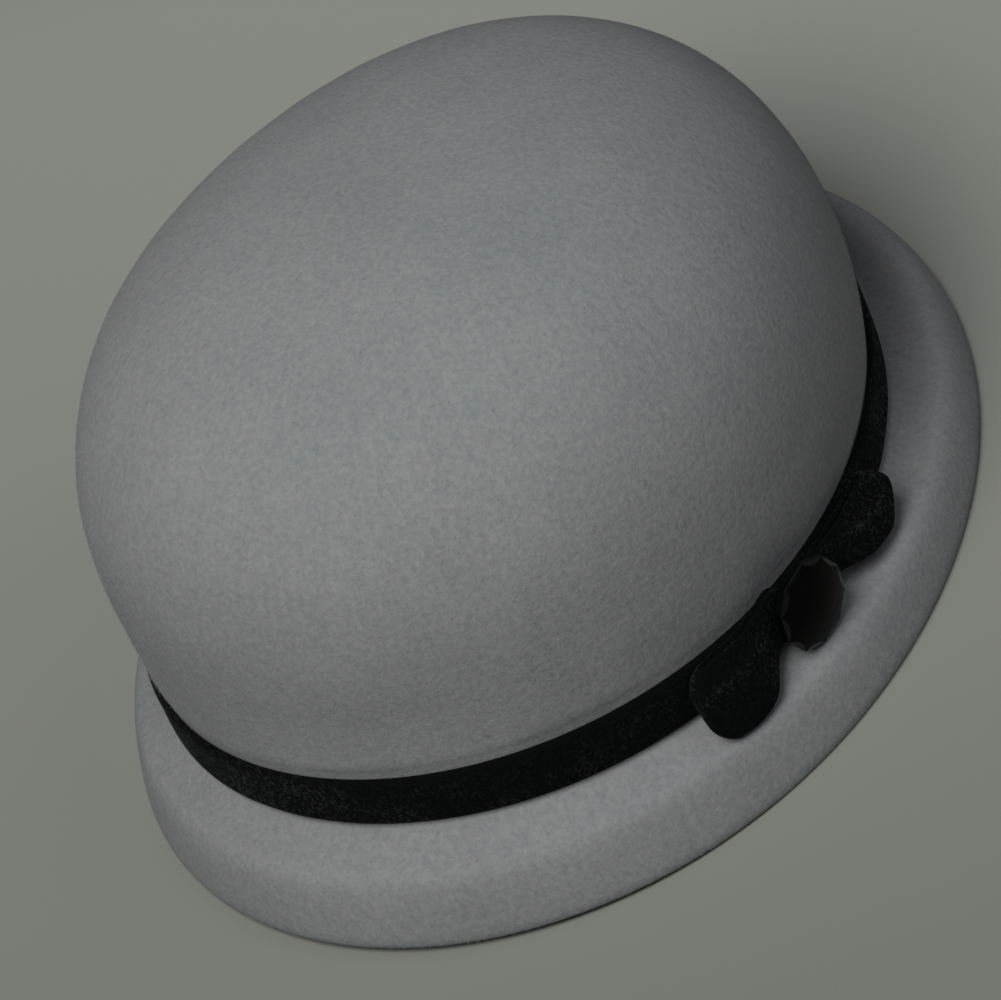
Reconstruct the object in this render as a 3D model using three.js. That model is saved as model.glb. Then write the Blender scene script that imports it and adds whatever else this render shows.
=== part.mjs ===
// A felt cloche hat: a blocked crown and brim in one piece, a velvet ribbon band,
// and a flat velvet bow of two loops under a faceted black button.
// Millimetres, +Z up. The rim rests on z = 0, the front is -Y, the wearer's right is -X.
// Angles round the hat are measured from the front, towards the wearer's right.

import * as THREE from 'three';
import { ConvexGeometry } from 'three/addons/geometries/ConvexGeometry.js';
import { mergeVertices } from 'three/addons/utils/BufferGeometryUtils.js';

// Felt: wall thickness, and the number of steps round the hat.
const FELT_WALL = 2.5;
const STEPS_ROUND = 72;

// The crown stands on the head oval, a little wider behind than in front, and the whole
// of it sits this far behind the middle of the rim.
const HEAD_SETBACK = 2.7;
const HEAD_HALF_LENGTH = 99.6;
const HEAD_HALF_WIDTH = 82;
const HEAD_EGG = -0.045;

// The ribbon band sits at the foot of the crown, this high above the resting rim.
const BAND_LIFT = 17.3;
const BAND_WIDTH = 14;
const BAND_WALL = 1.2;
const BAND_EDGE_GAP = 0.4;
const PIECE_GAP = 0.3;

// The crown's wall swells over the band, then rises to its widest section.
const OVER_BAND_HEIGHT = 17;
const OVER_BAND_SWELL = 0.6;
const WAIST_HEIGHT = 33;
const WAIST_HALF_LENGTH = 99.3;
const WAIST_HALF_WIDTH = 84.6;
const WAIST_EGG = -0.033;
const WAIST_SHIFT = 1;

// The dome above it is a quarter of a rounded oval that leans back a little.
const CROWN_HEIGHT = 101;
const DOME_ROUNDNESS = 2.45;
const DOME_SHIFT = 3.5;
const CROWN_PITCH = THREE.MathUtils.degToRad(3.5);

// The rim: longest in front, close at the sides and behind. It lies flat along the sides,
// and lifts a little towards the front and the back.
const RIM_HALF_LENGTH = 119.7;
const RIM_HALF_WIDTH = 98.4;
const RIM_EGG = -0.026;
const RIM_LIFT = 1.7;
const RIM_LIFT_POWER = 1.5;
const RIM_FLAT_SHARE = 0.5;

// The brim leaves the band at one slope below level, rolls over, and drops to the rim
// at another.
const BRIM_SLOPE_AT_BAND = THREE.MathUtils.degToRad(40);
const BRIM_SLOPE_AT_RIM = THREE.MathUtils.degToRad(77);
const BRIM_PULL_AT_BAND = 0.5;
const BRIM_PULL_AT_RIM = 0.92;

// Rows of points up the felt's outer and inner faces, and the part of each surface they span.
const BRIM_ROWS = { count: 9, from: 0, to: 1 };
const WALL_ROWS = { count: 3, from: 0, to: 1 };
const DOME_ROWS = { count: 12, from: 0.08, to: 0.97 };
const INNER_BRIM_ROWS = { count: 8, from: 0, to: 0.97 };
const INNER_WALL_SHARE = 0.9;
const INNER_DOME_ROWS = { count: 9, from: 0.15, to: 0.96 };

// The bow: where its middle is, and the ribbon that its loops are folded from.
const BOW_ANGLE = THREE.MathUtils.degToRad(109);
const BOW_HEIGHT = 7;
const LOOP_LEAN = 0.45;
const LOOP_LEAN_BELOW = 3;
const LOOP_LEAN_BLEND = 2;
const RIBBON_WALL = 1.1;
const LOOP_START = 3;
const LOOP_STEPS = 24;
const LOOP_ACROSS = 6;
const LOOP_FACE_SHARE = 0.375;
const LOOP_FOLD_RADIUS = 1.2;
const LOOP_RISE_UNDER_BUTTON = 2.3;
const LOOP_RISE = 2.6;
const LOOP_RISE_FROM = 10;
const LOOP_RISE_OVER = 10;
const LOOP_PUFF = 2;

// Each loop runs forward or back along the band to its end, where the ribbon folds over.
// The end falls back towards the lower and the upper edge, more steeply near the edge.
// Rows give the heights of the edges, at a distance from the bow's middle along the band.
const BACK_LOOP = {
  side: -1,
  end: { along: 35.3, lowCut: 3.4, highCut: 5, steepness: 4 },
  rows: [
    { along: 3, low: -3.2, high: 5.0 },
    { along: 7, low: -4.0, high: 9.4 },
    { along: 12, low: -4.9, high: 8.8 },
    { along: 16, low: -6.4, high: 7.8 },
    { along: 21, low: -9.3, high: 6.9 },
    { along: 26, low: -10.5, high: 6.8 },
    { along: 31, low: -10.4, high: 6.4 },
    { along: 36, low: -9.8, high: 5.2 },
  ],
};
const FRONT_LOOP = {
  side: 1,
  end: { along: 37, lowCut: 8, highCut: 5, steepness: 1.8 },
  rows: [
    { along: 3, low: -3.2, high: 4.4 },
    { along: 8, low: -3.4, high: 6.2 },
    { along: 13, low: -4.0, high: 6.4 },
    { along: 19, low: -5.4, high: 6.6 },
    { along: 25, low: -6.6, high: 6.6 },
    { along: 30, low: -6.9, high: 6.4 },
    { along: 37, low: -5.6, high: 5.6 },
  ],
};

// The button: where its middle is from the bow's, and its rings of corners, each ring
// turned by a share of one side.
const BUTTON_SIDES = 10;
const BUTTON_ALONG = -1.3;
const BUTTON_RAISE = 0.6;
const BUTTON_RINGS = [
  { radius: 9, height: 0, turn: 0.28 },
  { radius: 10.8, height: 1.5, turn: 0.28 },
  { radius: 10.8, height: 2.6, turn: 0.28 },
  { radius: 8.8, height: 3.5, turn: 0.78 },
  { radius: 4, height: 4.7, turn: 0.28 },
];

// Directions are measured over this small step, and no nearer than this to a surface's end.
const MEASURE_STEP = 1e-3;
const LAST_MEASURED = 1 - MEASURE_STEP;

const X_AXIS = new THREE.Vector3(1, 0, 0);
const Z_AXIS = new THREE.Vector3(0, 0, 1);

function oval(angle, halfLength, halfWidth, egg, shift, height) {
  const side = Math.sin(angle) + egg * Math.sin(2 * angle);
  return new THREE.Vector3(-halfWidth * side, shift - halfLength * Math.cos(angle), height);
}

// The crown and the band share one frame, pitched forward on the rim.
function placeCrown(point) {
  point.applyAxisAngle(X_AXIS, CROWN_PITCH);
  point.y += HEAD_SETBACK;
  point.z += BAND_LIFT;
  return point;
}

function headPoint(angle, height, swell = 0) {
  const halfLength = HEAD_HALF_LENGTH + swell;
  const halfWidth = HEAD_HALF_WIDTH + swell;
  return placeCrown(oval(angle, halfLength, halfWidth, HEAD_EGG, 0, height));
}

function rimPoint(angle) {
  const beyond = (Math.abs(Math.cos(angle)) - RIM_FLAT_SHARE) / (1 - RIM_FLAT_SHARE);
  const lift = RIM_LIFT * Math.max(beyond, 0) ** RIM_LIFT_POWER;
  return oval(angle, RIM_HALF_LENGTH, RIM_HALF_WIDTH, RIM_EGG, 0, lift);
}

// The brim's surface, from the rim at 0 to the band at 1.
function brimPoint(angle, share) {
  const rim = rimPoint(angle);
  const band = headPoint(angle, 0);
  const out = new THREE.Vector3().subVectors(rim, band).setZ(0).normalize();
  const reach = rim.distanceTo(band);
  const fromBand = out.clone().multiplyScalar(Math.cos(BRIM_SLOPE_AT_BAND));
  fromBand.z = -Math.sin(BRIM_SLOPE_AT_BAND);
  const fromRim = out.clone().multiplyScalar(-Math.cos(BRIM_SLOPE_AT_RIM));
  fromRim.z = Math.sin(BRIM_SLOPE_AT_RIM);
  const bandPull = band.clone().addScaledVector(fromBand, BRIM_PULL_AT_BAND * reach);
  const rimPull = rim.clone().addScaledVector(fromRim, BRIM_PULL_AT_RIM * reach);
  return new THREE.CubicBezierCurve3(rim, rimPull, bandPull, band).getPoint(share);
}

// The crown's wall above the band, from the swell over the ribbon at 0 to the waist at 1.
function wallPoint(angle, share) {
  const ease = Math.sin((share * Math.PI) / 2);
  const mix = THREE.MathUtils.lerp;
  return placeCrown(oval(
    angle,
    mix(HEAD_HALF_LENGTH + OVER_BAND_SWELL, WAIST_HALF_LENGTH, ease),
    mix(HEAD_HALF_WIDTH + OVER_BAND_SWELL, WAIST_HALF_WIDTH, ease),
    mix(HEAD_EGG, WAIST_EGG, share),
    WAIST_SHIFT * share,
    mix(OVER_BAND_HEIGHT, WAIST_HEIGHT, share),
  ));
}

// The dome, from the waist at 0 to the top at 1.
function domePoint(angle, share) {
  const turn = (share * Math.PI) / 2;
  const rise = Math.sin(turn) ** (2 / DOME_ROUNDNESS);
  const width = Math.cos(turn) ** (2 / DOME_ROUNDNESS);
  return placeCrown(oval(
    angle,
    WAIST_HALF_LENGTH * width,
    WAIST_HALF_WIDTH * width,
    WAIST_EGG,
    THREE.MathUtils.lerp(WAIST_SHIFT, DOME_SHIFT, rise),
    THREE.MathUtils.lerp(WAIST_HEIGHT, CROWN_HEIGHT, rise),
  ));
}

// The direction out of a surface, from how its point moves with the angle and the share.
function outward(surface, angle, share) {
  const low = Math.max(share - MEASURE_STEP, 0);
  const high = Math.min(share + MEASURE_STEP, LAST_MEASURED);
  const round = surface(angle + MEASURE_STEP, share).sub(surface(angle - MEASURE_STEP, share));
  const up = surface(angle, high).sub(surface(angle, low));
  return up.cross(round).normalize();
}

// Joins rings of points into a closed solid. A one-point ring closes a pole, and a ring
// at an open end is closed by joining its first half to its second half.
function loft(rings, closed = false) {
  const positions = [];
  const index = [];
  const starts = rings.map((ring) => {
    const start = positions.length / 3;
    ring.forEach((point) => positions.push(point.x, point.y, point.z));
    return start;
  });
  const join = (first, second) => {
    const count = Math.max(rings[first].length, rings[second].length);
    for (let i = 0; i < count; i += 1) {
      const next = (i + 1) % count;
      const a = starts[first] + (i % rings[first].length);
      const b = starts[first] + (next % rings[first].length);
      const c = starts[second] + (i % rings[second].length);
      const d = starts[second] + (next % rings[second].length);
      if (a !== b) index.push(a, b, c);
      if (c !== d) index.push(b, d, c);
    }
  };
  const cap = (ring, flip) => {
    const count = rings[ring].length;
    for (let i = 0; i < count / 2 - 1; i += 1) {
      const corners = [i, i + 1, count - 2 - i, count - 1 - i].map((k) => starts[ring] + k);
      const [a, b, c, d] = flip ? corners.reverse() : corners;
      index.push(a, b, c, a, c, d);
    }
  };
  for (let ring = 0; ring + 1 < rings.length; ring += 1) join(ring, ring + 1);
  if (closed) {
    join(rings.length - 1, 0);
  } else {
    if (rings[0].length > 1) cap(0, true);
    if (rings[rings.length - 1].length > 1) cap(rings.length - 1, false);
  }
  const geometry = new THREE.BufferGeometry();
  geometry.setAttribute('position', new THREE.Float32BufferAttribute(positions, 3));
  geometry.setIndex(signedVolume(positions, index) < 0 ? index.reverse() : index);
  return geometry;
}

function signedVolume(positions, index) {
  const corner = (k) => new THREE.Vector3().fromArray(positions, 3 * index[k]);
  let total = 0;
  for (let k = 0; k < index.length; k += 3) {
    total += corner(k).dot(corner(k + 1).cross(corner(k + 2))) / 6;
  }
  return total;
}

function ringOf(pointAt) {
  return Array.from({ length: STEPS_ROUND }, (_, i) => pointAt((2 * Math.PI * i) / STEPS_ROUND));
}

function shares({ count, from = 0, to = 1 }) {
  return Array.from({ length: count }, (_, i) => from + ((to - from) * i) / (count - 1));
}

// The felt: its outer face from the rim to the top, then its inner face back down.
function feltGeometry() {
  const outer = [
    ...shares(BRIM_ROWS).map((s) => ringOf((angle) => brimPoint(angle, s))),
    ringOf((angle) => headPoint(angle, BAND_WIDTH)),
    ...shares(WALL_ROWS).map((s) => ringOf((angle) => wallPoint(angle, s))),
    ...shares(DOME_ROWS).map((s) => ringOf((angle) => domePoint(angle, s))),
  ];
  // At the rim the wall is measured level, so that the cut edge is flat on z = 0.
  const inside = (surface, angle, share, level = false) => {
    const out = outward(surface, angle, share);
    if (level) out.setZ(0).normalize();
    return surface(angle, share).addScaledVector(out, -FELT_WALL);
  };
  const inner = [
    ...shares(INNER_BRIM_ROWS).map((s) => ringOf((a) => inside(brimPoint, a, s, s === 0))),
    ringOf((angle) => headPoint(angle, BAND_WIDTH, -FELT_WALL)),
    ringOf((angle) => inside(wallPoint, angle, INNER_WALL_SHARE)),
    ...shares(INNER_DOME_ROWS).map((s) => ringOf((angle) => inside(domePoint, angle, s))),
  ];
  const top = domePoint(0, 1);
  const ceiling = top.clone().addScaledVector(outward(domePoint, 0, LAST_MEASURED), -FELT_WALL);
  return loft([[top], ...outer.reverse(), ...inner, [ceiling]]);
}

// The band: one closed strip of ribbon round the foot of the crown.
function bandGeometry() {
  const low = BAND_EDGE_GAP;
  const high = BAND_WIDTH - BAND_EDGE_GAP;
  const corners = [
    { height: low, swell: PIECE_GAP },
    { height: high, swell: PIECE_GAP },
    { height: high, swell: PIECE_GAP + BAND_WALL },
    { height: low, swell: PIECE_GAP + BAND_WALL },
  ];
  const section = (angle) => corners.map((c) => headPoint(angle, c.height, c.swell));
  return loft(ringOf(section), true);
}

// A place on the band's face, a length of ribbon away from the middle of the bow,
// with its directions forward along the band and out of the hat.
const BOW_SWELL = PIECE_GAP + BAND_WALL;

function bowFrame(along) {
  const at = (angle) => headPoint(angle, BOW_HEIGHT, BOW_SWELL);
  const moved = at(BOW_ANGLE + MEASURE_STEP).distanceTo(at(BOW_ANGLE - MEASURE_STEP));
  const angle = BOW_ANGLE - (along * 2 * MEASURE_STEP) / moved;
  const forward = at(angle - MEASURE_STEP).sub(at(angle + MEASURE_STEP)).normalize();
  const level = new THREE.Vector3().crossVectors(Z_AXIS, forward).normalize();
  const out = at(angle).setZ(0).dot(level) < 0 ? level.negate() : level;
  return { origin: at(angle), forward, out };
}

// The value of a column of a loop's rows, at a distance along the band.
function column(rows, name, along) {
  const after = Math.max(1, rows.findIndex((row) => row.along >= along));
  const [first, second] = [rows[after - 1], rows[after]];
  const share = (along - first.along) / (second.along - first.along);
  return THREE.MathUtils.lerp(first[name], second[name], share);
}

// How far along the band a loop's ribbon is, and how far it has turned over at its fold.
function loopTravel({ end }, travel, across) {
  const offMiddle = 2 * across - 1;
  const cut = offMiddle < 0 ? end.lowCut : end.highCut;
  const straight = end.along - cut * Math.abs(offMiddle) ** end.steepness - LOOP_FOLD_RADIUS;
  const share = Math.min(travel, 1 - travel) / LOOP_FACE_SHARE;
  if (share < 1) {
    const along = THREE.MathUtils.lerp(LOOP_START, straight, share);
    return { along, turn: travel < LOOP_FACE_SHARE ? 0 : Math.PI };
  }
  const turn = (Math.PI * (travel - LOOP_FACE_SHARE)) / (1 - 2 * LOOP_FACE_SHARE);
  return { along: straight + LOOP_FOLD_RADIUS * Math.sin(turn), turn };
}

// The middle of a loop's ribbon: out on the face, round the fold, and back underneath.
function loopPoint(loop, travel, across) {
  const { along, turn } = loopTravel(loop, travel, across);
  const low = column(loop.rows, 'low', along);
  const high = column(loop.rows, 'high', along);
  const frame = bowFrame(loop.side * along);
  const climb = THREE.MathUtils.smoothstep(along, LOOP_RISE_FROM, LOOP_RISE_FROM + LOOP_RISE_OVER);
  const face = THREE.MathUtils.lerp(LOOP_RISE_UNDER_BUTTON, LOOP_RISE, climb);
  const back = PIECE_GAP + RIBBON_WALL / 2;
  const over = (1 + Math.cos(turn)) / 2;
  const puff = LOOP_PUFF * climb * over * (1 - (2 * across - 1) ** 2);
  // Below this height the loop leans out, over the start of the brim.
  const height = THREE.MathUtils.lerp(low, high, across);
  const drop = LOOP_LEAN_BELOW - height;
  const lean = LOOP_LEAN * climb * (drop + Math.hypot(drop, LOOP_LEAN_BLEND)) / 2;
  return frame.origin
    .addScaledVector(Z_AXIS, height)
    .addScaledVector(frame.out, THREE.MathUtils.lerp(back, face, over) + puff + lean);
}

function loopGeometry(loop) {
  const sheet = (across, travel) => loopPoint(loop, travel, across);
  const section = (travel) => {
    const face = [];
    const back = [];
    shares({ count: LOOP_ACROSS + 1 }).forEach((across) => {
      const middle = sheet(across, travel);
      const out = outward(sheet, across, Math.min(travel, LAST_MEASURED));
      face.push(middle.clone().addScaledVector(out, RIBBON_WALL / 2));
      back.unshift(middle.clone().addScaledVector(out, -RIBBON_WALL / 2));
    });
    return [...face, ...back];
  };
  return loft(shares({ count: LOOP_STEPS + 1 }).map(section));
}

// The button: the facets span its rings of corners.
function buttonGeometry() {
  const frame = bowFrame(BUTTON_ALONG);
  const seat = LOOP_RISE_UNDER_BUTTON + RIBBON_WALL / 2 + PIECE_GAP;
  const points = BUTTON_RINGS.flatMap(({ radius, height, turn }) => (
    Array.from({ length: BUTTON_SIDES }, (_, i) => {
      const angle = (2 * Math.PI * (i + turn)) / BUTTON_SIDES;
      return frame.origin.clone()
        .addScaledVector(frame.forward, radius * Math.cos(angle))
        .addScaledVector(Z_AXIS, radius * Math.sin(angle) + BUTTON_RAISE)
        .addScaledVector(frame.out, seat + height);
    })
  ));
  const hull = new ConvexGeometry(points);
  hull.deleteAttribute('normal');
  return mergeVertices(hull);
}

const felt = new THREE.MeshStandardMaterial({ color: '#767e82', roughness: 1, metalness: 0 });
const velvet = new THREE.MeshStandardMaterial({ color: '#0b1211', roughness: 1, metalness: 0 });
const jet = new THREE.MeshStandardMaterial({ color: '#07090a', roughness: 0.12, metalness: 0 });

function piece(name, geometry, material) {
  const mesh = new THREE.Mesh(geometry, material);
  mesh.name = name;
  return mesh;
}

const hat = new THREE.Group();
hat.add(
  piece('felt_body', feltGeometry(), felt),
  piece('velvet_band', bandGeometry(), velvet),
  piece('bow_loop_back', loopGeometry(BACK_LOOP), velvet.clone()),
  piece('bow_loop_front', loopGeometry(FRONT_LOOP), velvet.clone()),
  piece('bow_button', buttonGeometry(), jet),
);

export default hat;
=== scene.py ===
# The looks of a felt cloche hat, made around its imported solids.
# Metres, +Z up. The front of the hat is towards -Y and the wearer's right towards -X.
# Angles round the hat are measured from the front, towards the wearer's right.

import math

import bpy
from mathutils import Matrix, Vector, noise


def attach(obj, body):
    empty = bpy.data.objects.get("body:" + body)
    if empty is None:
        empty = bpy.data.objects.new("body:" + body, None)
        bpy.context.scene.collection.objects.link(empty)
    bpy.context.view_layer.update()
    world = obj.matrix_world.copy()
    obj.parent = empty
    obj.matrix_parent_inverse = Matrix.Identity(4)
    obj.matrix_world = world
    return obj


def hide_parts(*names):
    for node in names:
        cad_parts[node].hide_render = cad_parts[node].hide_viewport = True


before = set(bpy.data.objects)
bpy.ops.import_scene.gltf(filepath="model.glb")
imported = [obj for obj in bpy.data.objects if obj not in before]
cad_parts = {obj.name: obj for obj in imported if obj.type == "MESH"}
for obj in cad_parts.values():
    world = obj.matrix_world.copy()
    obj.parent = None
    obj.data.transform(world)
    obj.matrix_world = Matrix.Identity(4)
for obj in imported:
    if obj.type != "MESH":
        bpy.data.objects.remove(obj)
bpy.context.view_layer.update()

MM = 0.001

# The photograph's frame and the camera that matches it, found by fitting the hat's outlines.
PHOTO_WIDTH = 1001
SENSOR_WIDTH = 36.0
PIXELS_PER_METRE = 4508.0
CAMERA_AZIMUTH = math.radians(-140.0)
CAMERA_ELEVATION = math.radians(37.709)
CAMERA_ROLL = math.radians(-26.751)
CAMERA_DISTANCE = 1.158
CAMERA_TARGET = Vector((0.0, 2.7 * MM, 50 * MM))
CAMERA_SLIDE_RIGHT = -6.054 * MM
CAMERA_SLIDE_UP = -20.244 * MM

# The direction on the floor in which painted shade darkens its paper, standing in for the light's falloff.
PAINTED_SHADE_DIRECTION = (-0.33, 0.94, 0.0)

# Felt: wall, and how far hand blocking leaves it from a true surface.
FELT_WALL = 2.5 * MM
STEPS_ROUND = 288
HAND_BLOCKED = 0.35 * MM
HAND_BLOCKED_PATCH = 38 * MM
# How fast the blocking's waves grow from the rim, and die away towards the band.
BLOCKED_FROM_RIM = 3
BLOCKED_TO_BAND = 0.5
DIRECTION_STEP = 1e-3

# Head oval and the crown's place on it.
HEAD_SETBACK = 2.7 * MM
HEAD_HALF_LENGTH = 99.6 * MM
HEAD_HALF_WIDTH = 82 * MM
HEAD_EGG = -0.045
BAND_LIFT = 17.3 * MM
BAND_WIDTH = 14 * MM
BAND_WALL = 1.2 * MM
BAND_EDGE_GAP = 0.4 * MM
BAND_WOVEN_EDGE = 0.15 * MM
BAND_WAVE = 0.12 * MM
BAND_WAVES_ROUND = 9
BAND_WAVES_ACROSS = 3
PIECE_GAP = 0.3 * MM

# The wall above the band, and the dome.
OVER_BAND_HEIGHT = 17 * MM
OVER_BAND_SWELL = 0.6 * MM
WAIST_HEIGHT = 33 * MM
WAIST_HALF_LENGTH = 99.3 * MM
WAIST_HALF_WIDTH = 84.6 * MM
WAIST_EGG = -0.033
WAIST_SHIFT = 1 * MM
CROWN_HEIGHT = 101 * MM
DOME_ROUNDNESS = 2.45
DOME_SHIFT = 3.5 * MM
CROWN_PITCH = math.radians(3.5)

# Rim and brim.
RIM_HALF_LENGTH = 119.7 * MM
RIM_HALF_WIDTH = 98.4 * MM
RIM_EGG = -0.026
RIM_LIFT = 1.7 * MM
RIM_LIFT_POWER = 1.5
RIM_FLAT_SHARE = 0.5
BRIM_SLOPE_AT_BAND = math.radians(40)
BRIM_SLOPE_AT_RIM = math.radians(77)
BRIM_PULL_AT_BAND = 0.5
BRIM_PULL_AT_RIM = 0.92
ROUNDED_EDGE_SHARE = 0.055
EDGE_STEPS = 8

# The bow, folded from a narrower velvet ribbon.
BOW_ANGLE = math.radians(109)
BOW_HEIGHT = 7 * MM
BOW_SWELL = PIECE_GAP + BAND_WALL
LOOP_LEAN = 0.45
LOOP_LEAN_BELOW = 3 * MM
LOOP_LEAN_BLEND = 2 * MM
RIBBON_WALL = 1.1 * MM
LOOP_START = 3 * MM
LOOP_RISE_UNDER_BUTTON = 2.3 * MM
LOOP_RISE = 2.6 * MM
LOOP_RISE_FROM = 10 * MM
LOOP_RISE_OVER = 10 * MM
LOOP_FACE_SHARE = 0.375
LOOP_FOLD_RADIUS = 1.2 * MM
LOOP_STEPS = 96
LOOP_ACROSS = 28
RIDGE_HEIGHT = 1.8 * MM
RIDGE_SOFTNESS = 0.12
CREASE_WIDTH = 0.7 * MM
GATHER_DEPTH = 0.35 * MM
GATHER_COUNT = 3
GATHER_LENGTH = 7 * MM

# Each loop runs forward or back along the band to its end, where the ribbon folds over. The end
# falls back towards the lower and the upper edge. Rows, in millimetres, give the heights of the
# lower edge, the crease and the upper edge, at a distance from the bow's middle along the band.
BACK_LOOP = {
    "side": -1,
    "end": {"along": 35.3, "low_cut": 3.4, "high_cut": 5, "steepness": 4},
    "rows": (
        {"along": 3, "low": -3.2, "crease": 2.0, "high": 5.0},
        {"along": 7, "low": -4.0, "crease": 3.4, "high": 9.4},
        {"along": 12, "low": -4.9, "crease": 3.4, "high": 8.8},
        {"along": 16, "low": -6.4, "crease": 2.5, "high": 7.8},
        {"along": 21, "low": -9.3, "crease": 1.2, "high": 6.9},
        {"along": 26, "low": -10.5, "crease": 0.6, "high": 6.8},
        {"along": 31, "low": -10.4, "crease": 1.0, "high": 6.4},
        {"along": 36, "low": -9.8, "crease": 0.6, "high": 5.2},
    ),
}
FRONT_LOOP = {
    "side": 1,
    "end": {"along": 37, "low_cut": 8, "high_cut": 5, "steepness": 1.8},
    "rows": (
        {"along": 3, "low": -3.2, "crease": 2.4, "high": 4.4},
        {"along": 8, "low": -3.4, "crease": 4.4, "high": 6.2},
        {"along": 13, "low": -4.0, "crease": 4.0, "high": 6.4},
        {"along": 19, "low": -5.4, "crease": 2.0, "high": 6.6},
        {"along": 25, "low": -6.6, "crease": 0.5, "high": 6.6},
        {"along": 30, "low": -6.9, "crease": -0.6, "high": 6.4},
        {"along": 37, "low": -5.6, "crease": 0.5, "high": 5.6},
    ),
}

# The button: a domed top cut by flat bevels round a faceted edge.
BUTTON_SIDES = 10
BUTTON_TURN = 0.28
BUTTON_ALONG = -1.3 * MM
BUTTON_RAISE = 0.6 * MM
BUTTON_RADIUS = 10.8 * MM
BUTTON_FOOT_RADIUS = 9 * MM
BUTTON_HEIGHT = 4.7 * MM
BUTTON_EDGE = 2.6 * MM
BUTTON_BEVEL_SLOPE = math.radians(28)
# The dome that passes through the edge's corners.
BUTTON_DOME_RADIUS = (
    BUTTON_RADIUS ** 2 + (BUTTON_HEIGHT - BUTTON_EDGE) ** 2
) / (2 * (BUTTON_HEIGHT - BUTTON_EDGE))
BUTTON_STEPS_A_SIDE = 14
BUTTON_SHARP = math.radians(4)
BUTTON_POLISHED_EDGE = 0.1 * MM

# Nap: short soft fibres that lie round the crown and down the brim.
NAP_PER_SQUARE_METRE = 2.1e6
NAP_LENGTH = 0.95 * MM
NAP_WIDTH = 0.10 * MM
NAP_LIFT = 0.42
NAP_SCATTER = 0.55
NAP_ABOVE = 1.6 * MM
NAP_SEED = 11
# How steeply the nap is laid downwards, and how many rows of it turn round the cut edge.
NAP_FALL = 1.4
NAP_ROWS_ROUND_EDGE = 3
# The brush's path round the hat, and its short step from row to row, which makes its strokes long.
BRUSH_RADIUS = 90 * MM
BRUSH_STEP = 0.22 * MM


def lerp(a, b, share):
    return a + (b - a) * share


def smoothstep(value, low, high):
    share = min(max((value - low) / (high - low), 0.0), 1.0)
    return share * share * (3 - 2 * share)


def oval(angle, half_length, half_width, egg, shift, height):
    side = math.sin(angle) + egg * math.sin(2 * angle)
    return Vector((-half_width * side, shift - half_length * math.cos(angle), height))


def place_crown(point):
    c, s = math.cos(CROWN_PITCH), math.sin(CROWN_PITCH)
    return Vector((
        point.x,
        point.y * c - point.z * s + HEAD_SETBACK,
        point.y * s + point.z * c + BAND_LIFT,
    ))


def head_point(angle, height, swell=0.0):
    return place_crown(
        oval(angle, HEAD_HALF_LENGTH + swell, HEAD_HALF_WIDTH + swell, HEAD_EGG, 0, height)
    )


def rim_point(angle):
    beyond = (abs(math.cos(angle)) - RIM_FLAT_SHARE) / (1 - RIM_FLAT_SHARE)
    lift = RIM_LIFT * max(beyond, 0.0) ** RIM_LIFT_POWER
    return oval(angle, RIM_HALF_LENGTH, RIM_HALF_WIDTH, RIM_EGG, 0, lift)


def brim_point(angle, share):
    """The brim's outer face, from the rim at 0 to the band at 1."""
    rim, band = rim_point(angle), head_point(angle, 0)
    out = (rim - band) * Vector((1, 1, 0))
    out.normalize()
    reach = (rim - band).length
    from_band = out * math.cos(BRIM_SLOPE_AT_BAND)
    from_band.z = -math.sin(BRIM_SLOPE_AT_BAND)
    from_rim = -out * math.cos(BRIM_SLOPE_AT_RIM)
    from_rim.z = math.sin(BRIM_SLOPE_AT_RIM)
    band_pull = band + from_band * BRIM_PULL_AT_BAND * reach
    rim_pull = rim + from_rim * BRIM_PULL_AT_RIM * reach
    rest = 1 - share
    return (
        rim * rest ** 3
        + rim_pull * 3 * rest ** 2 * share
        + band_pull * 3 * rest * share ** 2
        + band * share ** 3
    )


def groove_point(angle, share):
    """The felt under the ribbon, then its small swell above it, from 0 to 1."""
    height = OVER_BAND_HEIGHT * share
    return head_point(angle, height, OVER_BAND_SWELL * smoothstep(height, BAND_WIDTH, OVER_BAND_HEIGHT))


def wall_point(angle, share):
    """The crown's wall, from the swell over the ribbon at 0 to the waist at 1."""
    ease = math.sin(share * math.pi / 2)
    return place_crown(oval(
        angle,
        lerp(HEAD_HALF_LENGTH + OVER_BAND_SWELL, WAIST_HALF_LENGTH, ease),
        lerp(HEAD_HALF_WIDTH + OVER_BAND_SWELL, WAIST_HALF_WIDTH, ease),
        lerp(HEAD_EGG, WAIST_EGG, share),
        WAIST_SHIFT * share,
        lerp(OVER_BAND_HEIGHT, WAIST_HEIGHT, share),
    ))


def dome_point(angle, share):
    """The dome, from the waist at 0 to the top at 1."""
    turn = share * math.pi / 2
    rise = math.sin(turn) ** (2 / DOME_ROUNDNESS)
    width = max(math.cos(turn), 0.0) ** (2 / DOME_ROUNDNESS)
    return place_crown(oval(
        angle,
        WAIST_HALF_LENGTH * width,
        WAIST_HALF_WIDTH * width,
        WAIST_EGG,
        lerp(WAIST_SHIFT, DOME_SHIFT, rise),
        lerp(WAIST_HEIGHT, CROWN_HEIGHT, rise),
    ))


def outward(surface, angle, share):
    low = max(share - DIRECTION_STEP, 0.0)
    high = min(share + DIRECTION_STEP, 1 - DIRECTION_STEP)
    around = surface(angle + DIRECTION_STEP, share) - surface(angle - DIRECTION_STEP, share)
    up = surface(angle, high) - surface(angle, low)
    return up.cross(around).normalized()


def shares(count, start=0.0, end=1.0):
    return [lerp(start, end, i / (count - 1)) for i in range(count)]


def angles():
    return [2 * math.pi * i / STEPS_ROUND for i in range(STEPS_ROUND)]


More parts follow.
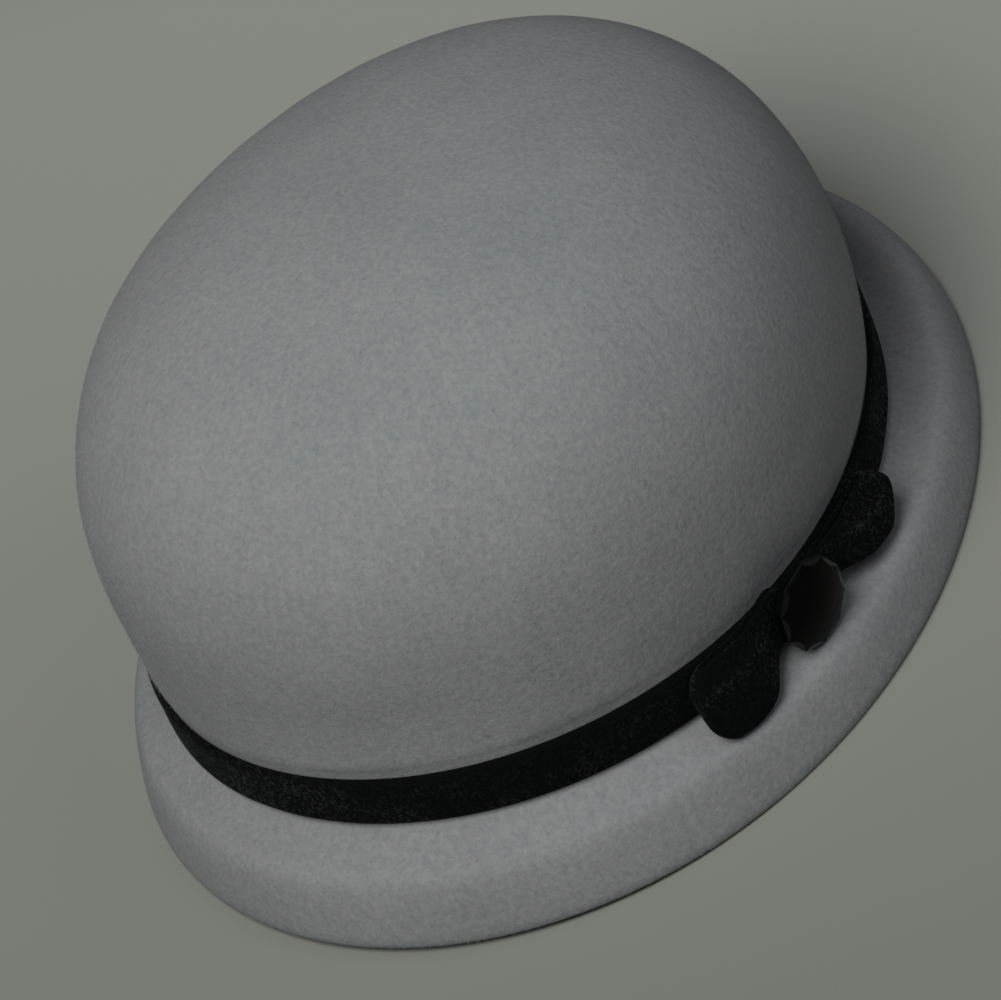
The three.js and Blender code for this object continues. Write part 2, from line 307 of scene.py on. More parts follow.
def new_piece(name, points, faces, material, smooth=True):
    """A piece whose place is in its mesh, with its faces turned outwards."""
    mesh = bpy.data.meshes.new(name)
    mesh.from_pydata([tuple(p) for p in points], [], faces)
    mesh.materials.append(material)
    mesh.polygons.foreach_set("use_smooth", [smooth] * len(mesh.polygons))
    if signed_volume(mesh) < 0:
        mesh.flip_normals()
    mesh.update()
    piece = bpy.data.objects.new(name, mesh)
    bpy.context.scene.collection.objects.link(piece)
    return piece


def signed_volume(mesh):
    mesh.calc_loop_triangles()
    at = [v.co for v in mesh.vertices]
    return sum(
        at[a].dot(at[b].cross(at[c])) / 6
        for a, b, c in (t.vertices for t in mesh.loop_triangles)
    )


def joined_rings(rings, closed=False):
    """Points and faces that join rings of equal length. A one-point ring closes a pole."""
    points, starts = [], []
    for ring in rings:
        starts.append(len(points))
        points.extend(ring)
    pairs = [(i, i + 1) for i in range(len(rings) - 1)]
    if closed:
        pairs.append((len(rings) - 1, 0))
    faces = []
    for first, second in pairs:
        count = max(len(rings[first]), len(rings[second]))
        for i in range(count):
            j = (i + 1) % count
            corners = [
                starts[first] + i % len(rings[first]),
                starts[first] + j % len(rings[first]),
                starts[second] + j % len(rings[second]),
                starts[second] + i % len(rings[second]),
            ]
            faces.append(tuple(dict.fromkeys(corners)))
    return points, faces


# Materials

def linear(hex_colour, alpha=1.0):
    """An sRGB hex colour as the linear values that shaders take."""
    parts = [int(hex_colour[i:i + 2], 16) / 255 for i in (1, 3, 5)]
    return (*(c / 12.92 if c <= 0.04045 else ((c + 0.055) / 1.055) ** 2.4 for c in parts), alpha)


def add(tree, kind, inputs=None, **settings):
    """Adds a node with its settings. Inputs are values, or sockets to link from."""
    node = tree.nodes.new(kind)
    for name, value in settings.items():
        setattr(node, name, value)
    for name, value in (inputs or {}).items():
        socket = node.inputs[name]
        if isinstance(value, bpy.types.NodeSocket):
            tree.links.new(value, socket)
        else:
            socket.default_value = value
    return node


def new_material(name):
    material = bpy.data.materials.new(name)
    material.use_nodes = True
    material.node_tree.nodes.clear()
    return material, material.node_tree


def finish_material(tree, shader):
    add(tree, "ShaderNodeOutputMaterial", {"Surface": shader.outputs["BSDF"]})


def felt_material():
    """Fur felt, blocked and raised to a velour nap: matt, soft, and mottled as the nap turns."""
    material, tree = new_material("felt_velour_raised_nap")
    place = add(tree, "ShaderNodeTexCoord").outputs["Object"]
    brushed = add(tree, "ShaderNodeAttribute", attribute_name="brushed").outputs["Vector"]
    # Clouds a few centimetres wide, where the nap lies one way or the other.
    clouds = add(tree, "ShaderNodeTexNoise",
                 {"Vector": place, "Scale": 1 / (24 * MM), "Detail": 2.0, "Roughness": 0.5})
    # Tufts about 1 mm wide that fray into hairs of about 0.2 mm, drawn coarser than real.
    tufts = add(tree, "ShaderNodeTexNoise",
                {"Vector": place, "Scale": 1 / (1.4 * MM), "Detail": 3.0,
                 "Roughness": 0.6, "Distortion": 0.2})
    # Strokes of the brush, 0.8 mm wide and five times as long, down the brim and the wall.
    strokes = add(tree, "ShaderNodeTexNoise",
                  {"Vector": brushed, "Scale": 1 / (1.6 * MM), "Detail": 2.0, "Roughness": 0.5})
    tone = add(tree, "ShaderNodeMath", {0: clouds.outputs["Fac"], 1: 0.25}, operation="MULTIPLY")
    for part, weight in ((tufts, 0.8), (strokes, 0.2)):
        tone = add(tree, "ShaderNodeMath", {0: part.outputs["Fac"], 1: weight, 2: tone.outputs[0]},
                   operation="MULTIPLY_ADD")
    colours = add(tree, "ShaderNodeValToRGB", {"Fac": tone.outputs[0]})
    ramp = colours.color_ramp
    ramp.elements[0].position, ramp.elements[0].color = 0.35, linear("#7b8082")
    ramp.elements[1].position, ramp.elements[1].color = 0.9, linear("#94999a")
    # Warm and cool hairs are felted together, and show as a faint heather 2 mm wide.
    heather = add(tree, "ShaderNodeTexNoise",
                  {"Vector": place, "Scale": 1 / (4 * MM), "Detail": 1.0, "Roughness": 0.5})
    dyed = add(tree, "ShaderNodeMapRange",
               {"Value": heather.outputs["Fac"], "From Min": 0.38, "From Max": 0.62,
                "To Min": 0.0, "To Max": 0.10})
    colours = add(tree, "ShaderNodeMix", {
        0: dyed.outputs["Result"], 6: colours.outputs["Color"], 7: linear("#9c8f90"),
    }, data_type="RGBA")
    height = add(tree, "ShaderNodeMath", {0: strokes.outputs["Fac"], 1: 0.2, 2: tufts.outputs["Fac"]},
                 operation="MULTIPLY_ADD")
    nap = add(tree, "ShaderNodeBump", {"Height": height.outputs[0], "Strength": 0.55, "Distance": 0.35 * MM})
    shader = add(tree, "ShaderNodeBsdfPrincipled", {
        "Base Color": colours.outputs[2], "Normal": nap.outputs["Normal"],
        "Roughness": 1.0, "Specular IOR Level": 0.08,
        "Sheen Weight": 0.04, "Sheen Roughness": 0.5, "Sheen Tint": linear("#d5dadb"),
    })
    finish_material(tree, shader)
    return material


def velvet_material():
    """Woven velvet ribbon: black where the pile faces the eye, with a painted bottle-green sheen where it
    turns away.
    """
    material, tree = new_material("velvet_ribbon_cut_pile")
    place = add(tree, "ShaderNodeTexCoord").outputs["Object"]
    # The crease mask, where the velvet takes more painted sheen.
    crease_sheen = add(tree, "ShaderNodeAttribute", attribute_name="crease_sheen").outputs["Fac"]
    # The pile is crushed in patches of about 6 mm, and its tufts are drawn at 0.5 mm.
    crush = add(tree, "ShaderNodeTexNoise",
                {"Vector": place, "Scale": 1 / (12 * MM), "Detail": 3.0, "Roughness": 0.6, "Distortion": 0.4})
    pile = add(tree, "ShaderNodeTexNoise",
               {"Vector": place, "Scale": 1 / (0.9 * MM), "Detail": 2.0, "Roughness": 0.75})
    turned = add(tree, "ShaderNodeLayerWeight", {"Blend": 0.5})
    # Tufts stand light and dark side by side, in steps, so that the ribbon looks grainy.
    grain = add(tree, "ShaderNodeMapRange",
                {"Value": pile.outputs["Fac"], "From Min": 0.48, "From Max": 0.64,
                 "To Min": 0.05, "To Max": 1.5})
    patch = add(tree, "ShaderNodeMapRange",
                {"Value": crush.outputs["Fac"], "From Min": 0.35, "From Max": 0.65,
                 "To Min": 0.2, "To Max": 1.0})
    # Painted sheen: lighter green where the pile turns away from the eye, and more of it along a crease.
    painted_sheen = add(tree, "ShaderNodeMath", {0: turned.outputs["Facing"], 1: 1.4}, operation="POWER")
    painted_sheen = add(tree, "ShaderNodeMath", {0: crease_sheen, 1: 0.3, 2: painted_sheen.outputs[0]}, operation="MULTIPLY_ADD")
    painted_sheen = add(tree, "ShaderNodeMath", {0: painted_sheen.outputs[0], 1: grain.outputs["Result"]}, operation="MULTIPLY")
    painted_sheen = add(tree, "ShaderNodeMath", {0: painted_sheen.outputs[0], 1: patch.outputs["Result"]},
               operation="MULTIPLY", use_clamp=True)
    # The painted sheen's colour: a pale bottle green over the velvet's own black.
    colours = add(tree, "ShaderNodeMix", {
        0: painted_sheen.outputs[0], 6: linear("#070909"), 7: linear("#3a4643"),
    }, data_type="RGBA")
    height = add(tree, "ShaderNodeMath", {0: crush.outputs["Fac"], 1: 1.2, 2: pile.outputs["Fac"]},
                 operation="MULTIPLY_ADD")
    nap = add(tree, "ShaderNodeBump", {"Height": height.outputs[0], "Strength": 0.8, "Distance": 0.4 * MM})
    shader = add(tree, "ShaderNodeBsdfPrincipled", {
        "Base Color": colours.outputs[2], "Normal": nap.outputs["Normal"],
        "Roughness": 0.9, "Specular IOR Level": 0.06,
        "Sheen Weight": 0.03, "Sheen Roughness": 0.35, "Sheen Tint": linear("#7d9a92"),
    })
    finish_material(tree, shader)
    return material


def jet_material():
    """Pressed black glass: deep black, worn nearly matt on its dome and polished on its bevels."""
    material, tree = new_material("black_glass_cut_and_polished")
    place = add(tree, "ShaderNodeTexCoord").outputs["Object"]
    # Handling leaves faint smears a few millimetres wide.
    smears = add(tree, "ShaderNodeTexNoise",
                 {"Vector": place, "Scale": 1 / (4 * MM), "Detail": 4.0, "Distortion": 1.5})
    dulled = add(tree, "ShaderNodeMapRange",
                 {"Value": smears.outputs["Fac"], "From Min": 0.4, "From Max": 0.7,
                  "To Min": 0.08, "To Max": 0.2})
    # The domed top is worn nearly matt, and only the bevels keep their polish.
    polished = add(tree, "ShaderNodeAttribute", attribute_name="polished").outputs["Fac"]
    gloss = add(tree, "ShaderNodeMapRange", {"Value": polished, "To Min": 0.06, "To Max": 0.35})
    swirl = add(tree, "ShaderNodeBump",
                {"Height": smears.outputs["Fac"], "Strength": 0.08, "Distance": 0.1 * MM})
    shader = add(tree, "ShaderNodeBsdfPrincipled", {
        "Base Color": linear("#030404"), "Roughness": dulled.outputs["Result"],
        "Normal": swirl.outputs["Normal"], "IOR": 1.5, "Specular IOR Level": gloss.outputs["Result"],
    })
    finish_material(tree, shader)
    return material


def floor_material():
    """Pale grey paper, smooth and matt, with painted shade that darkens it slowly towards the near side."""
    material, tree = new_material("pale_backdrop_paper")
    place = add(tree, "ShaderNodeTexCoord").outputs["Object"]
    near = add(tree, "ShaderNodeVectorMath", {0: place, 1: PAINTED_SHADE_DIRECTION}, operation="DOT_PRODUCT")
    shade = add(tree, "ShaderNodeMapRange", {
        "Value": near.outputs["Value"], "From Min": -250 * MM, "From Max": 150 * MM,
    })
    # Painted shade: the paper runs from light on the far side to darker on the near side.
    colours = add(tree, "ShaderNodeMix", {
        0: shade.outputs["Result"], 6: linear("#b0b3ad"), 7: linear("#82857e"),
    }, data_type="RGBA")
    shader = add(tree, "ShaderNodeBsdfPrincipled", {
        "Base Color": colours.outputs[2], "Roughness": 0.9, "Specular IOR Level": 0.15,
    })
    finish_material(tree, shader)
    return material


# Felt

def blocked(point, out, strength=1.0):
    """A point of the felt, moved a little in or out as hand blocking leaves it."""
    wave = noise.noise(point / HAND_BLOCKED_PATCH) + 0.4 * noise.noise(point / (0.3 * HAND_BLOCKED_PATCH))
    return point + out * (HAND_BLOCKED * strength * wave)


def felt_rings():
    """Rings from the top, down the outer face, round the edge and up the inner face."""
    top, top_out = dome_point(0, 1), outward(dome_point, 0, 1 - DIRECTION_STEP)

    def ring(surface, share, depth=0.0, strength=1.0):
        made = []
        for angle in angles():
            out = outward(surface, angle, share)
            made.append(blocked(surface(angle, share), out, strength) - out * depth)
        return made

    dome = [ring(dome_point, s) for s in shares(58, 0.985, 0.0)]
    wall = [ring(wall_point, s) for s in shares(10, 0.9, 0.0)]
    groove = [ring(groove_point, s, strength=0.3) for s in shares(9, 0.95, 0.0)]
    brim = [
        ring(brim_point, s, strength=min(BLOCKED_FROM_RIM * s, 1) * (1 - s) ** BLOCKED_TO_BAND)
        for s in shares(30, 0.97, ROUNDED_EDGE_SHARE)
    ]
    outer_foot = brim[-1]
    inner_brim = [ring(brim_point, s, FELT_WALL, 0.0) for s in shares(24, ROUNDED_EDGE_SHARE, 0.96)]
    inner_groove = [ring(groove_point, s, FELT_WALL, 0.0) for s in (0.1, 0.5, 0.9)]
    inner_wall = [ring(wall_point, s, FELT_WALL, 0.3) for s in (0.2, 0.5, 0.8)]
    inner_dome = [ring(dome_point, s, FELT_WALL, 0.6) for s in shares(30, 0.1, 0.96)]

    edge = []
    for step in range(1, EDGE_STEPS):
        turn = math.pi * step / EDGE_STEPS
        row = []
        for i, angle in enumerate(angles()):
            level = outward(brim_point, angle, 0.0)
            level.z = 0
            bottom = rim_point(angle) - level.normalized() * (FELT_WALL / 2)
            middle = (outer_foot[i] + inner_brim[0][i]) / 2
            across = (outer_foot[i] - inner_brim[0][i]) / 2
            row.append(middle + across * math.cos(turn) + (bottom - middle) * math.sin(turn))
        edge.append(row)
    outer = [[top], *dome, *wall, *groove, *brim]
    return [*outer, *edge, *inner_brim, *inner_groove, *inner_wall, *inner_dome,
            [top - top_out * FELT_WALL]], len(dome), len(wall), len(groove), len(brim)


def felt_body(material):
    rings, dome, wall, groove, brim = felt_rings()
    points, faces = joined_rings(rings)
    piece = new_piece("felt_hat", points, faces, material)
    # Where the nap stands, which way it lies, and the brush's path for the material.
    napped, lay, brushed = [], [], []
    crown_end, brim_start = dome + wall + 1, dome + wall + groove + 1
    brim_end = dome + wall + groove + brim + NAP_ROWS_ROUND_EDGE
    for row, ring in enumerate(rings):
        on_outer = 1 <= row <= crown_end or brim_start <= row <= brim_end
        on_brim = row >= brim_start
        for i, point in enumerate(ring):
            angle = 2 * math.pi * i / STEPS_ROUND
            around = Vector((-math.cos(angle), math.sin(angle), 0))
            down = Vector((-math.sin(angle), -math.cos(angle), -NAP_FALL)).normalized()
            napped.append(1.0 if on_outer and point.z > NAP_ABOVE else 0.0)
            lay.append(down if on_brim else (around * 0.8 + down * 0.6).normalized())
            path = row * BRUSH_STEP
            brushed.append((math.sin(angle) * BRUSH_RADIUS, math.cos(angle) * BRUSH_RADIUS, path))
    store(piece.data, "napped", "FLOAT", napped)
    store(piece.data, "lay", "FLOAT_VECTOR", lay)
    store(piece.data, "brushed", "FLOAT_VECTOR", brushed)
    return piece


def store(mesh, name, kind, values):
    attribute = mesh.attributes.new(name, kind, "POINT")
    if kind == "FLOAT":
        attribute.data.foreach_set("value", values)
    else:
        attribute.data.foreach_set("vector", [c for v in values for c in v])


def nap_tree(material):
    """Geometry nodes that scatter short fibres over the felt's outer face."""
    tree = bpy.data.node_groups.new("felt_nap", "GeometryNodeTree")
    tree.is_modifier = True
    tree.interface.new_socket("Felt", in_out="INPUT", socket_type="NodeSocketGeometry")
    for name, kind in (("Fibres per square metre", "Float"), ("Fibre length", "Float"),
                       ("Fibre width", "Float"), ("Lift", "Float"), ("Scatter", "Float"), ("Seed", "Int")):
        tree.interface.new_socket(name, in_out="INPUT", socket_type=f"NodeSocket{kind}")
    tree.interface.new_socket("Nap", in_out="OUTPUT", socket_type="NodeSocketGeometry")
    given = add(tree, "NodeGroupInput").outputs
    napped = add(tree, "GeometryNodeInputNamedAttribute", {"Name": "napped"}, data_type="FLOAT")
    density = add(tree, "ShaderNodeMath",
                  {0: given["Fibres per square metre"], 1: napped.outputs["Attribute"]}, operation="MULTIPLY")
    spots = add(tree, "GeometryNodeDistributePointsOnFaces",
                {"Mesh": given["Felt"], "Density": density.outputs[0], "Seed": given["Seed"]})
    # A fibre is one thin triangle along Z, so that a dense nap stays light.
    triangle = add(tree, "GeometryNodeMeshCircle", {"Vertices": 3, "Radius": 1.0}, fill_type="NGON")
    size = add(tree, "ShaderNodeCombineXYZ",
               {"X": given["Fibre length"], "Y": given["Fibre width"], "Z": 1.0})
    fibre = add(tree, "GeometryNodeTransform",
                {"Geometry": triangle.outputs["Mesh"], "Scale": size.outputs[0]})
    fibre = add(tree, "GeometryNodeTransform",
                {"Geometry": fibre.outputs["Geometry"], "Rotation": (0.0, -math.pi / 2, 0.0)})
    lay = add(tree, "GeometryNodeInputNamedAttribute", {"Name": "lay"}, data_type="FLOAT_VECTOR")
    stray = add(tree, "FunctionNodeRandomValue",
                {"Min": (-1.0, -1.0, -1.0), "Max": (1.0, 1.0, 1.0), "Seed": given["Seed"]},
                data_type="FLOAT_VECTOR")
    up = add(tree, "ShaderNodeVectorMath",
             {0: spots.outputs["Normal"], "Scale": given["Lift"]}, operation="SCALE")
    off = add(tree, "ShaderNodeVectorMath",
              {0: stray.outputs[0], "Scale": given["Scatter"]}, operation="SCALE")
    heading = add(tree, "ShaderNodeVectorMath",
                  {0: lay.outputs["Attribute"], 1: up.outputs[0]}, operation="ADD")
    heading = add(tree, "ShaderNodeVectorMath", {0: heading.outputs[0], 1: off.outputs[0]}, operation="ADD")
    turn = add(tree, "FunctionNodeAlignRotationToVector", {"Vector": heading.outputs[0]}, axis="Z")
    # The fibre's flat side faces out of the felt, so that it takes the felt's own light.
    turn = add(tree, "FunctionNodeAlignRotationToVector",
               {"Rotation": turn.outputs[0], "Vector": spots.outputs["Normal"]}, axis="X", pivot_axis="Z")
    length = add(tree, "FunctionNodeRandomValue", {2: 0.55, 3: 1.25}, data_type="FLOAT")
    hairs = add(tree, "GeometryNodeInstanceOnPoints", {
        "Points": spots.outputs["Points"], "Instance": fibre.outputs["Geometry"],
        "Rotation": turn.outputs[0], "Scale": length.outputs[1],
    })
    real = add(tree, "GeometryNodeRealizeInstances", {"Geometry": hairs.outputs["Instances"]})
    dyed = add(tree, "GeometryNodeSetMaterial", {"Geometry": real.outputs[0], "Material": material})
    add(tree, "NodeGroupOutput", {"Nap": dyed.outputs[0]})
    return tree


def felt_nap(felt, material):
    """The fibres, as a plain mesh of their own."""
    tree = nap_tree(material)
    carrier = bpy.data.objects.new("nap_carrier", felt.data.copy())
    bpy.context.scene.collection.objects.link(carrier)
    modifier = carrier.modifiers.new("nap", "NODES")
    modifier.node_group = tree
    # The triangle runs from -0.5 to 1 along its length and from -0.87 to 0.87 across.
    sizes = {
        "Fibres per square metre": NAP_PER_SQUARE_METRE, "Fibre length": NAP_LENGTH / 1.5,
        "Fibre width": NAP_WIDTH / 1.73, "Lift": NAP_LIFT, "Scatter": NAP_SCATTER, "Seed": NAP_SEED,
    }
    for item in tree.interface.items_tree:
        if item.in_out == "INPUT" and item.name in sizes:
            modifier[item.identifier] = sizes[item.name]
    found = carrier.evaluated_get(bpy.context.evaluated_depsgraph_get())
    mesh = bpy.data.meshes.new_from_object(found)
    mesh.name = "felt_nap"
    carrier.modifiers.remove(modifier)
    bpy.data.objects.remove(carrier)
    piece = bpy.data.objects.new("felt_nap", mesh)
    bpy.context.scene.collection.objects.link(piece)
    return piece


# Velvet

def band(material):
    """The ribbon round the crown: a little full in the middle, thin at its woven edges."""
    low, high = BAND_EDGE_GAP, BAND_WIDTH - BAND_EDGE_GAP

    def section(angle):
        face, back = [], []
        for share in shares(13):
            height = lerp(low, high, share)
            full = (1 - abs(2 * share - 1) ** 8) ** 0.5
            spot = Vector((
                math.sin(angle) * BAND_WAVES_ROUND,
                math.cos(angle) * BAND_WAVES_ROUND,
                BAND_WAVES_ACROSS * share,
            ))
            wave = BAND_WAVE * noise.noise(spot)
            swell = PIECE_GAP + BAND_WOVEN_EDGE + (BAND_WALL - BAND_WOVEN_EDGE) * full + wave * full
            face.append(head_point(angle, height, swell))
            back.insert(0, head_point(angle, height, PIECE_GAP))
        return [*face, *back]

    points, faces = joined_rings([section(angle) for angle in angles()], closed=True)
    return new_piece("velvet_ribbon_band", points, faces, material)


def bow_frame(along):
    """A place on the band's face, with its directions forward along the band and out of the hat."""
    def at(angle):
        return head_point(angle, BOW_HEIGHT, BOW_SWELL)

    moved = (at(BOW_ANGLE + DIRECTION_STEP) - at(BOW_ANGLE - DIRECTION_STEP)).length
    angle = BOW_ANGLE - along * 2 * DIRECTION_STEP / moved
    forward = (at(angle - DIRECTION_STEP) - at(angle + DIRECTION_STEP)).normalized()
    level = Vector((0, 0, 1)).cross(forward).normalized()
    here = at(angle)
    if Vector((here.x, here.y, 0)).dot(level) < 0:
        level.negate()
    return here, forward, level


def column(table, name, along):
    """The value of a column at a distance along the band, on a smooth curve through its rows."""
    rows = [(row["along"] * MM, row[name] * MM) for row in table]
    last = len(rows) - 2
    at = next((i for i in range(last) if along <= rows[i + 1][0]), last)

    def slope(i):
        before, after = rows[max(i - 1, 0)], rows[min(i + 1, last + 1)]
        return (after[1] - before[1]) / (after[0] - before[0])

    (start, first), (end, second) = rows[at], rows[at + 1]
    step = end - start
    t = (along - start) / step
    return (
        first * (2 * t ** 3 - 3 * t ** 2 + 1)
        + slope(at) * step * (t ** 3 - 2 * t ** 2 + t)
        + second * (3 * t ** 2 - 2 * t ** 3)
        + slope(at + 1) * step * (t ** 3 - t ** 2)
    )


def loop_travel(end, travel, across):
    """How far along the band a loop's ribbon is, and how far it has turned over at its fold."""
    off_middle = 2 * across - 1
    cut = end["low_cut"] if off_middle < 0 else end["high_cut"]
    straight = (end["along"] - cut * abs(off_middle) ** end["steepness"]) * MM - LOOP_FOLD_RADIUS
    share = min(travel, 1 - travel) / LOOP_FACE_SHARE
    if share < 1:
        return lerp(LOOP_START, straight, share), 0.0 if travel < LOOP_FACE_SHARE else math.pi
    turn = math.pi * (travel - LOOP_FACE_SHARE) / (1 - 2 * LOOP_FACE_SHARE)
    return straight + LOOP_FOLD_RADIUS * math.sin(turn), turn


def loop_edges(rows, along):
    """A loop's lower and upper edge, and the share between them of its crease."""
    low, high = column(rows, "low", along), column(rows, "high", along)
    crease = (column(rows, "crease", along) - low) / (high - low)
    return low, high, min(max(crease, 0.15), 0.85)


def on_crease(loop, travel, across):
    """How near a place on the face is to the crease, from 0 to 1, which sets the velvet's painted sheen."""
    along, turn = loop_travel(loop["end"], travel, across)
    low, high, crease = loop_edges(loop["rows"], along)
    climb = smoothstep(along, LOOP_START, LOOP_RISE_FROM)
    off = (across - crease) * (high - low) / CREASE_WIDTH
    return climb * (1 + math.cos(turn)) / 2 * math.exp(-off ** 2)


def loop_point(loop, travel, across):
    """The middle of a loop's ribbon: out on the face, round the fold, and back underneath."""
    along, turn = loop_travel(loop["end"], travel, across)
    low, high, crease = loop_edges(loop["rows"], along)
    origin, _, out = bow_frame(loop["side"] * along)
    climb = smoothstep(along, LOOP_RISE_FROM, LOOP_RISE_FROM + LOOP_RISE_OVER)
    face = lerp(LOOP_RISE_UNDER_BUTTON, LOOP_RISE, climb)
    back = PIECE_GAP + RIBBON_WALL / 2
    over = (1 + math.cos(turn)) / 2
    # The face is creased along its length, and gathered where the button holds it.
    from_crease = (across - crease) / (crease if across < crease else 1 - crease)
    ridge = RIDGE_HEIGHT * climb * over * (
        1 - math.hypot(from_crease, RIDGE_SOFTNESS) / math.hypot(1, RIDGE_SOFTNESS)
    )
    fade = math.exp(-max(along - LOOP_RISE_FROM, 0.0) / GATHER_LENGTH)
    gather = GATHER_DEPTH * over * climb * fade * math.cos(2 * math.pi * GATHER_COUNT * across)
    height = lerp(low, high, across)
    drop = LOOP_LEAN_BELOW - height
    lean = LOOP_LEAN * climb * (drop + math.hypot(drop, LOOP_LEAN_BLEND)) / 2
    lifted = lerp(back, face, over) + ridge + gather + lean
    return origin + Vector((0, 0, height)) + out * lifted


def bow_loop(name, loop, material):
    def sheet(across, travel):
        return loop_point(loop, travel, across)

    # Each point also keeps its crease mask, which sets the velvet's painted sheen.
    rings, crease_sheen = [], []
    for travel in shares(LOOP_STEPS + 1):
        face, back, lines = [], [], []
        for step in range(LOOP_ACROSS + 1):
            across = (1 - math.cos(math.pi * step / LOOP_ACROSS)) / 2
            half = RIBBON_WALL / 2 * max(1 - abs(2 * across - 1) ** 8, 0.0) ** 0.5
            middle = sheet(across, travel)
            out = outward(sheet, across, min(travel, 1 - DIRECTION_STEP))
            face.append(middle + out * half)
            lines.append(on_crease(loop, travel, across))
            if 0 < step < LOOP_ACROSS:
                back.insert(0, middle - out * half)
        rings.append([*face, *back])
        crease_sheen.extend([*lines, *reversed(lines[1:-1])])
    points, faces = joined_rings(rings)
    count = len(rings[0])
    faces.append(tuple(range(count)))
    faces.append(tuple(reversed(range(len(points) - count, len(points)))))
    piece = new_piece(name, points, faces, material)
    store(piece.data, "crease_sheen", "FLOAT", crease_sheen)
    return piece


# Button

def button_top(radius, off_middle):
    """Height of the button's top: the dome, or the flat bevel where that is lower."""
    flat = BUTTON_RADIUS * math.cos(math.pi / BUTTON_SIDES)
    dome = BUTTON_HEIGHT - BUTTON_DOME_RADIUS + math.sqrt(BUTTON_DOME_RADIUS ** 2 - radius ** 2)
    bevel = BUTTON_EDGE + (flat - radius * math.cos(off_middle)) * math.tan(BUTTON_BEVEL_SLOPE)
    return dome, bevel


def button_crease(off_middle, outline):
    """The radius where the dome meets a bevel, found by halving."""
    inner, outer = 0.0, outline
    for _ in range(40):
        middle = (inner + outer) / 2
        dome, bevel = button_top(middle, off_middle)
        inner, outer = (middle, outer) if dome < bevel else (inner, middle)
    return outer


def button(material):
    """A dome cut by flat bevels, over a faceted edge that tapers to the foot."""
    origin, forward, out = bow_frame(BUTTON_ALONG)
    seat = LOOP_RISE_UNDER_BUTTON + RIBBON_WALL / 2 + PIECE_GAP
    centre = origin + Vector((0, 0, BUTTON_RAISE))
    flat = BUTTON_RADIUS * math.cos(math.pi / BUTTON_SIDES)
    side = 2 * math.pi / BUTTON_SIDES
    count = BUTTON_SIDES * BUTTON_STEPS_A_SIDE
    dome_shares, bevel_shares = shares(18)[1:], shares(5)[1:]
    rows = len(dome_shares) + len(bevel_shares) + 2
    rings = [[] for _ in range(rows)]
    for i in range(count):
        angle = 2 * math.pi * i / count
        off_middle = (angle % side) - side / 2
        outline = flat / math.cos(off_middle)
        crease = button_crease(off_middle, outline)
        heights = [(crease * t, button_top(crease * t, off_middle)[0]) for t in dome_shares]
        heights += [
            (r, button_top(r, off_middle)[1]) for r in (lerp(crease, outline, t) for t in bevel_shares)
        ]
        heights += [(outline, BUTTON_EDGE / 2), (outline * BUTTON_FOOT_RADIUS / BUTTON_RADIUS, 0.0)]
        turned = angle + BUTTON_TURN * side
        for ring, (radius, height) in zip(rings, heights):
            ring.append(
                centre
                + forward * (radius * math.cos(turned))
                + Vector((0, 0, radius * math.sin(turned)))
                + out * (seat + height)
            )
    rings = [[centre + out * (seat + BUTTON_HEIGHT)], *rings, [centre + out * seat]]
    points, faces = joined_rings(rings)
    piece = new_piece("bow_button_cut", points, faces, material)
    on_bevel = range(len(dome_shares) + 1, len(dome_shares) + len(bevel_shares) + 1)
    polished = [float(row in on_bevel) for row, ring in enumerate(rings) for _ in ring]
    store(piece.data, "polished", "FLOAT", polished)
    piece.data.set_sharp_from_angle(angle=BUTTON_SHARP)
    bevel = piece.modifiers.new("polished_edges", "BEVEL")
    bevel.width = BUTTON_POLISHED_EDGE
    bevel.segments = 2
    bevel.limit_method = "ANGLE"
    bevel.angle_limit = BUTTON_SHARP
    return piece


# Stage, light and camera

def view_axes():
    """The camera's place and its right, up and back directions, with its roll."""
    back = Vector((
        math.sin(CAMERA_AZIMUTH) * math.cos(CAMERA_ELEVATION),
        -math.cos(CAMERA_AZIMUTH) * math.cos(CAMERA_ELEVATION),
        math.sin(CAMERA_ELEVATION),
    ))
    place = CAMERA_TARGET + back * CAMERA_DISTANCE
    right = Vector((0, 0, 1)).cross(back).normalized()
    up = back.cross(right)
    aim = CAMERA_TARGET + right * CAMERA_SLIDE_RIGHT + up * CAMERA_SLIDE_UP
    back = (place - aim).normalized()
    right = Vector((0, 0, 1)).cross(back).normalized()
    up = back.cross(right)
    c, s = math.cos(CAMERA_ROLL), math.sin(CAMERA_ROLL)
    return place, right * c + up * s, up * c - right * s, back


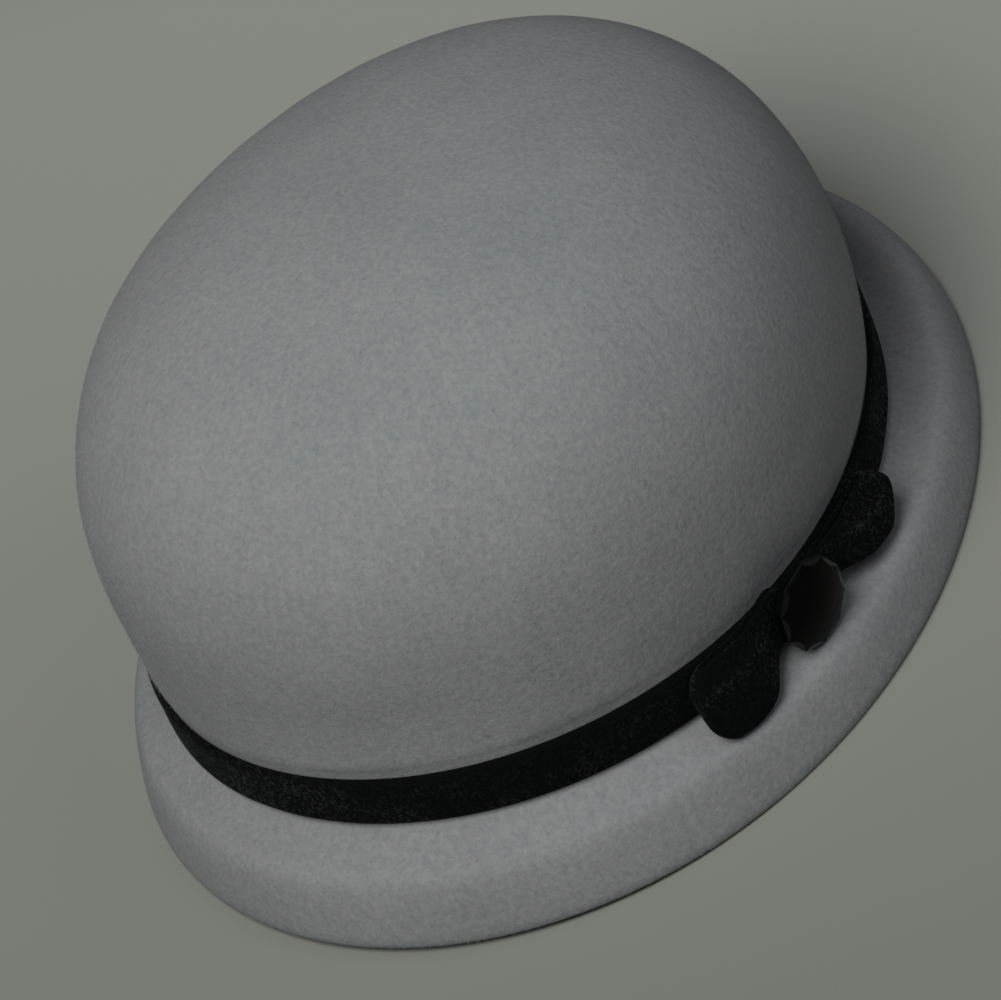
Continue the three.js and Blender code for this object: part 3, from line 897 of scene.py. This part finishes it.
def make_camera():
    place, right, up, back = view_axes()
    camera = bpy.data.cameras.new("camera")
    camera.sensor_fit = "HORIZONTAL"
    camera.sensor_width = SENSOR_WIDTH
    camera.lens = PIXELS_PER_METRE * CAMERA_DISTANCE * SENSOR_WIDTH / PHOTO_WIDTH
    camera.clip_start, camera.clip_end = 0.01, 50
    holder = bpy.data.objects.new("camera", camera)
    holder.matrix_world = Matrix.Translation(place) @ Matrix((right, up, back)).transposed().to_4x4()
    bpy.context.scene.collection.objects.link(holder)
    bpy.context.scene.camera = holder


def soft_light(name, direction, distance, size, power, colour):
    light = bpy.data.lights.new(name, "AREA")
    light.shape = "DISK"
    light.size = size
    light.energy = power
    light.color = linear(colour)[:3]
    holder = bpy.data.objects.new(name, light)
    aim = Vector((0, 0, 60 * MM))
    holder.matrix_world = (
        Matrix.Translation(aim + direction.normalized() * distance)
        @ direction.to_track_quat("Z", "Y").to_matrix().to_4x4()
    )
    bpy.context.scene.collection.objects.link(holder)


def make_stage():
    half = 6.0
    corners = [(-half, -half, 0), (half, -half, 0), (half, half, 0), (-half, half, 0)]
    mesh = bpy.data.meshes.new("studio_floor")
    mesh.from_pydata(corners, [], [(0, 1, 2, 3)])
    mesh.materials.append(floor_material())
    floor = bpy.data.objects.new("studio_floor", mesh)
    bpy.context.scene.collection.objects.link(floor)
    world = bpy.data.worlds.new("studio")
    world.use_nodes = True
    world.node_tree.nodes["Background"].inputs["Color"].default_value = linear("#c6cbc8")
    world.node_tree.nodes["Background"].inputs["Strength"].default_value = 0.12
    bpy.context.scene.world = world
    _, right, up, back = view_axes()
    soft_light("key", back * 0.88 - right * 0.42 + up * 0.2, 1.2, 0.8, 11.5, "#fffefa")
    soft_light("fill", back * 0.6 + right * 0.35 + up * 0.5, 2.4, 2.0, 6.0, "#f6f9ff")
    view = bpy.context.scene.view_settings
    view.view_transform = "Standard"


make_camera()
felt, velvet, jet = felt_material(), velvet_material(), jet_material()

hat = felt_body(felt)
nap = felt_nap(hat, felt)
ribbon = band(velvet)
loops = (
    bow_loop("bow_loop_back_velvet", BACK_LOOP, velvet),
    bow_loop("bow_loop_front_velvet", FRONT_LOOP, velvet),
)
stud = button(jet)

for piece, node, slot in (
    (hat, "felt_body", "felt"),
    (ribbon, "velvet_band", "velvet"),
    (loops[0], "bow_loop_back", "velvet"),
    (loops[1], "bow_loop_front", "velvet"),
    (stud, "bow_button", "jet"),
):
    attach(piece, "root")
    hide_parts(node)
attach(nap, "root")

make_stage()
